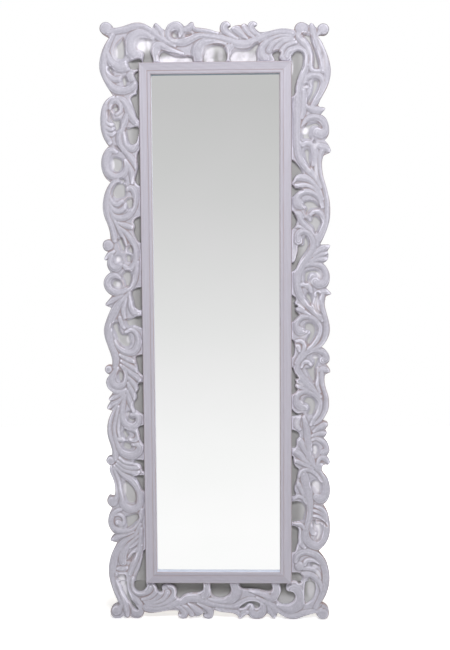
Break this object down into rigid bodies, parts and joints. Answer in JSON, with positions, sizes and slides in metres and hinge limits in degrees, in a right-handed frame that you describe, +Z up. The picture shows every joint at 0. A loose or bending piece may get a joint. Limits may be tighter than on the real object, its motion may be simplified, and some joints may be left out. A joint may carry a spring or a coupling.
{
  "type": "framed mirror",
  "caption": "Tall framed mirror with a border of carved scrolls and leaves, a stepped inner moulding and hanging rings behind.",
  "frame": {"origin": "middle of the mirror's width and depth, on the floor that its lowest carving stands on", "axes": "+X to the right as the glass is faced, +Y from the glass to the wall behind, +Z up"},
  "size_m": [0.6842, 0.06, 1.8079],
  "materials": {
    "carved_wood": "whitewashed paint with rubbed creases and edges",
    "moulding_wood": "whitewashed paint brushed lengthwise",
    "base_wood": "bare planed softwood",
    "dowel_wood": "bare beech",
    "mirror": "polished",
    "slip_wood": "bare planed softwood",
    "hardboard": "smooth hardboard",
    "screws": "zinc plated",
    "plates": "zinc plated",
    "hangers": "zinc plated",
    "rings": "zinc plated wire",
    "bumpers": "matt"
  },
  "bodies": {
    "frame": {"carved_left_stile": "carved_wood", "carved_right_stile": "carved_wood", "carved_top_rail": "carved_wood", "carved_bottom_rail": "carved_wood", "moulding_top": "moulding_wood", "moulding_bottom": "moulding_wood", "moulding_left": "moulding_wood", "moulding_right": "moulding_wood", "base_left_stile": "base_wood", "base_right_stile": "base_wood", "base_top_rail": "base_wood", "base_bottom_rail": "base_wood", "base_dowels": "dowel_wood", "mirror_glass": "mirror", "glass_slips": "slip_wood", "back_panel": "hardboard", "back_panel_screws": "screws", "carving_screws": "screws", "moulding_screws": "screws", "mending_plates": "plates", "plate_screws": "screws", "hanger_strap_left": "hangers", "hanger_strap_right": "hangers", "hanger_screws": "screws", "wall_bumpers": "bumpers"},
    "ring_left": {"hanger_ring_left": "rings"},
    "ring_right": {"hanger_ring_right": "rings"}
  },
  "joints": [
    {"name": "ring_left_swing", "type": "hinge", "parent": "frame", "child": "ring_left", "pos_m": [-0.24, 0.0259, 1.53], "axis": [1, 0, 0], "range_deg": [0, 175]},
    {"name": "ring_right_swing", "type": "hinge", "parent": "frame", "child": "ring_right", "pos_m": [0.24, 0.0259, 1.53], "axis": [1, 0, 0], "range_deg": [0, 175]}
  ]
}
